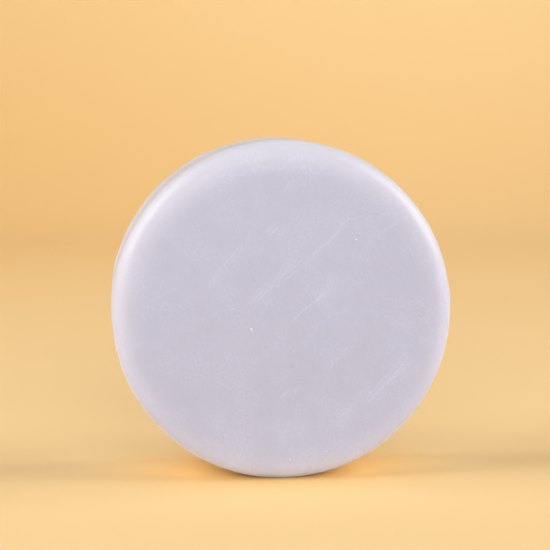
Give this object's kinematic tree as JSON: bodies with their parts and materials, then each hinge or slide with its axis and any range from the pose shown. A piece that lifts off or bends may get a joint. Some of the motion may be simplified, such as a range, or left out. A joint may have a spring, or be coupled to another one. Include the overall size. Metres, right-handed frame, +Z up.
{
  "type": "shaving soap puck",
  "caption": "Round cast puck of hard shaving soap with a soft rounded front edge and an open-poured back, standing on its rim.",
  "frame": {"origin": "middle of the small flat on the rim that the puck stands on, half way through its thickness", "axes": "+Z up, +Y along the puck's axis from its front face to its poured back, +X to the right for someone who looks at the front face"},
  "size_m": [0.07, 0.025, 0.0698],
  "materials": {
    "soap": "satin, waxy, pale grey lilac"
  },
  "bodies": {
    "root": {"soap_puck": "soap"}
  },
  "joints": []
}
